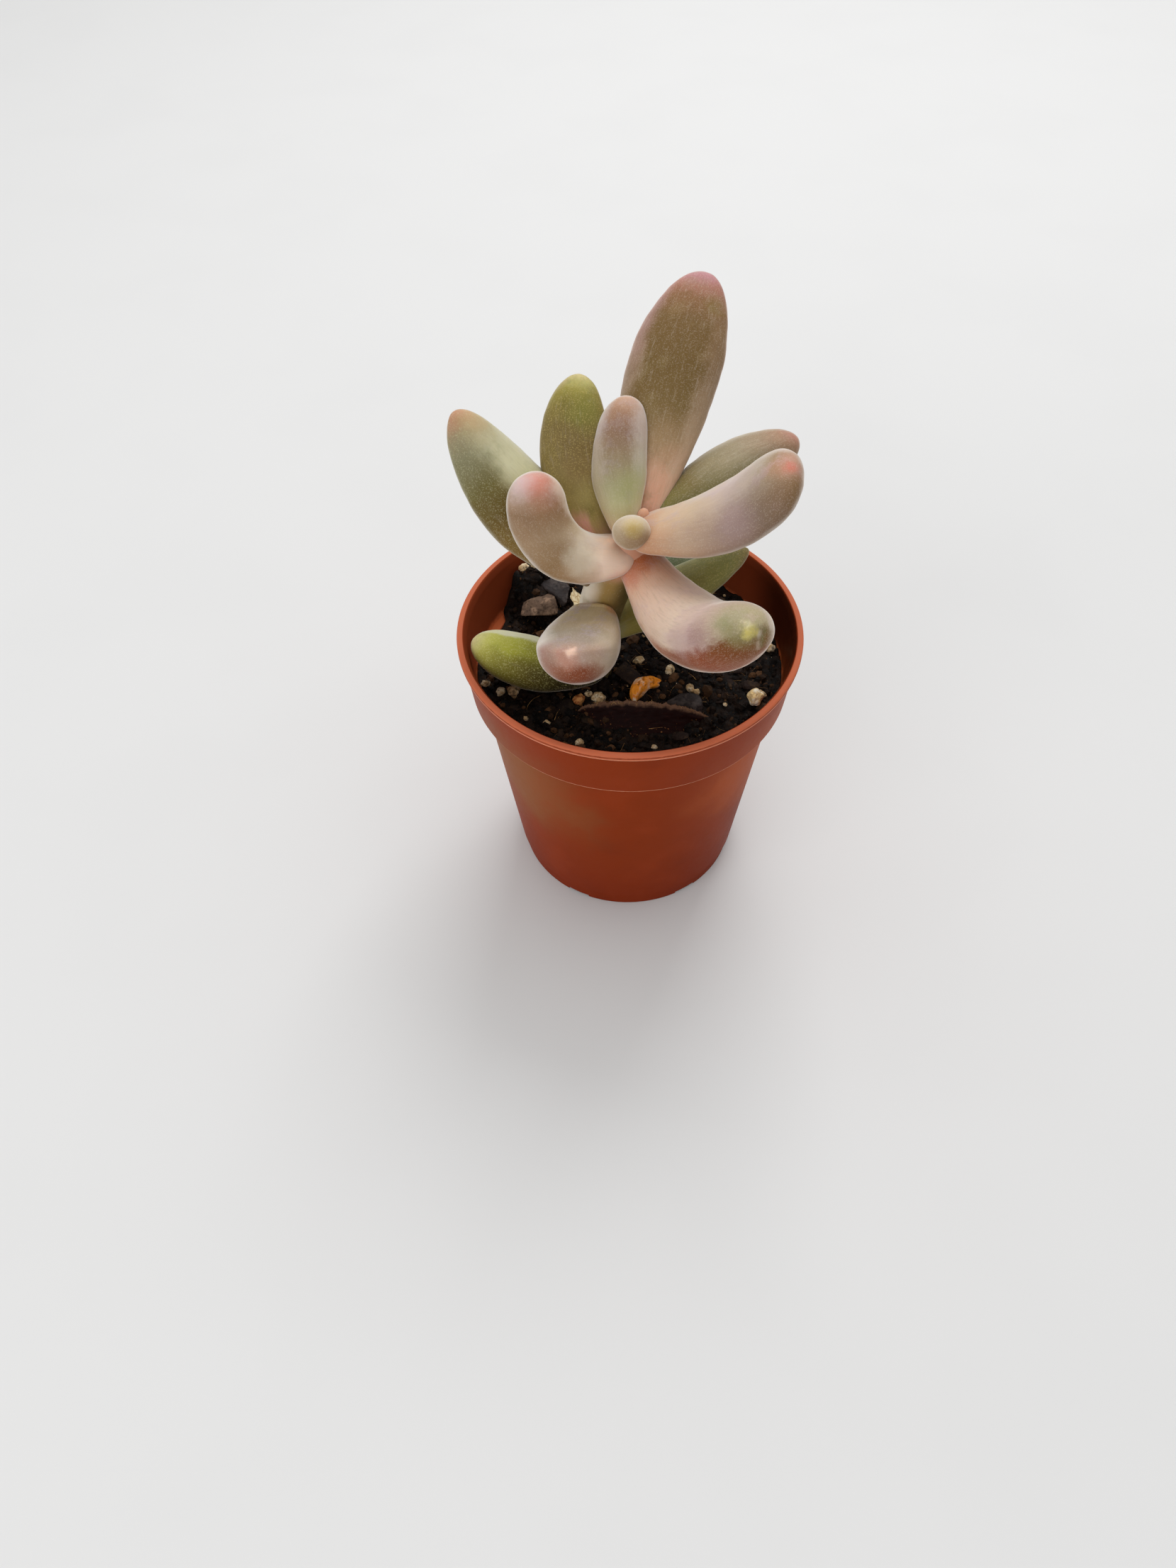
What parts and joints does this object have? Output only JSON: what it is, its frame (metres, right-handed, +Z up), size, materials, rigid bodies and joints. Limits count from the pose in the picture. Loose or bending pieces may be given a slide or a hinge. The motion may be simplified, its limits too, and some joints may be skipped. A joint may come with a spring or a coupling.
{
  "type": "potted succulent",
  "caption": "Young potted pachyphytum with a loose rosette of fat powdery leaves on a short stem, in a small tapered nursery pot of black gritty soil.",
  "frame": {"origin": "centre of the pot's flat base, on the surface that it stands on", "axes": "+Z up along the pot's axis, +X to the right and -Y to the front as in the reference view"},
  "size_m": [0.055, 0.0588, 0.0926],
  "materials": {
    "terracotta_plastic": "satin moulded polypropylene, terracotta brown",
    "peat_soil": "damp black peat with grit and fibres",
    "stem_skin": "smooth pale green-beige, powdery",
    "young_leaf_skin": "matte grey-beige with a powdery bloom",
    "pink_leaf_skin": "matte pink",
    "lilac_leaf_skin": "matte pale lilac-green with a powdery bloom",
    "beige_leaf_skin": "matte beige to lilac with a red-pink tip",
    "rose_leaf_skin": "matte rose-beige, rubbed brown-red below",
    "olive_mauve_leaf_skin": "matte olive-brown to mauve",
    "grey_green_leaf_skin": "matte grey-green",
    "olive_leaf_skin": "matte olive green with golden flecks",
    "sage_leaf_skin": "matte sage green with a peach tip",
    "grey_lilac_leaf_skin": "matte grey-lilac with a pink tip",
    "dark_green_leaf_skin": "matte dark green",
    "bright_green_leaf_skin": "matte bright green with yellow flecks",
    "straw_scale": "dry, papery, straw coloured",
    "dark_bark": "dark brown, smooth face, frayed edge",
    "grey_stone": "rough grey-brown stone",
    "slate": "dark slate",
    "orange_pumice": "pitted orange pumice",
    "cream_pumice": "pitted cream pumice"
  },
  "bodies": {
    "root": {"pot": "terracotta_plastic", "soil": "peat_soil", "stem": "stem_skin", "bud_leaf": "young_leaf_skin", "tiny_leaf": "pink_leaf_skin", "leaf_inner_back": "lilac_leaf_skin", "leaf_right": "beige_leaf_skin", "leaf_left_curled": "beige_leaf_skin", "leaf_front_right": "rose_leaf_skin", "leaf_tall_back": "olive_mauve_leaf_skin", "leaf_right_back": "grey_green_leaf_skin", "leaf_left_back": "olive_leaf_skin", "leaf_far_left": "sage_leaf_skin", "leaf_front_stub": "grey_lilac_leaf_skin", "leaf_low_back": "dark_green_leaf_skin", "leaf_low_right": "dark_green_leaf_skin", "leaf_on_soil": "bright_green_leaf_skin", "dry_scale": "straw_scale", "bark_flake": "dark_bark", "grey_stone": "grey_stone", "slate_stone": "slate", "orange_pumice": "orange_pumice", "cream_pumice": "cream_pumice", "slate_chip": "slate", "brown_chip": "dark_bark"}
  },
  "joints": []
}
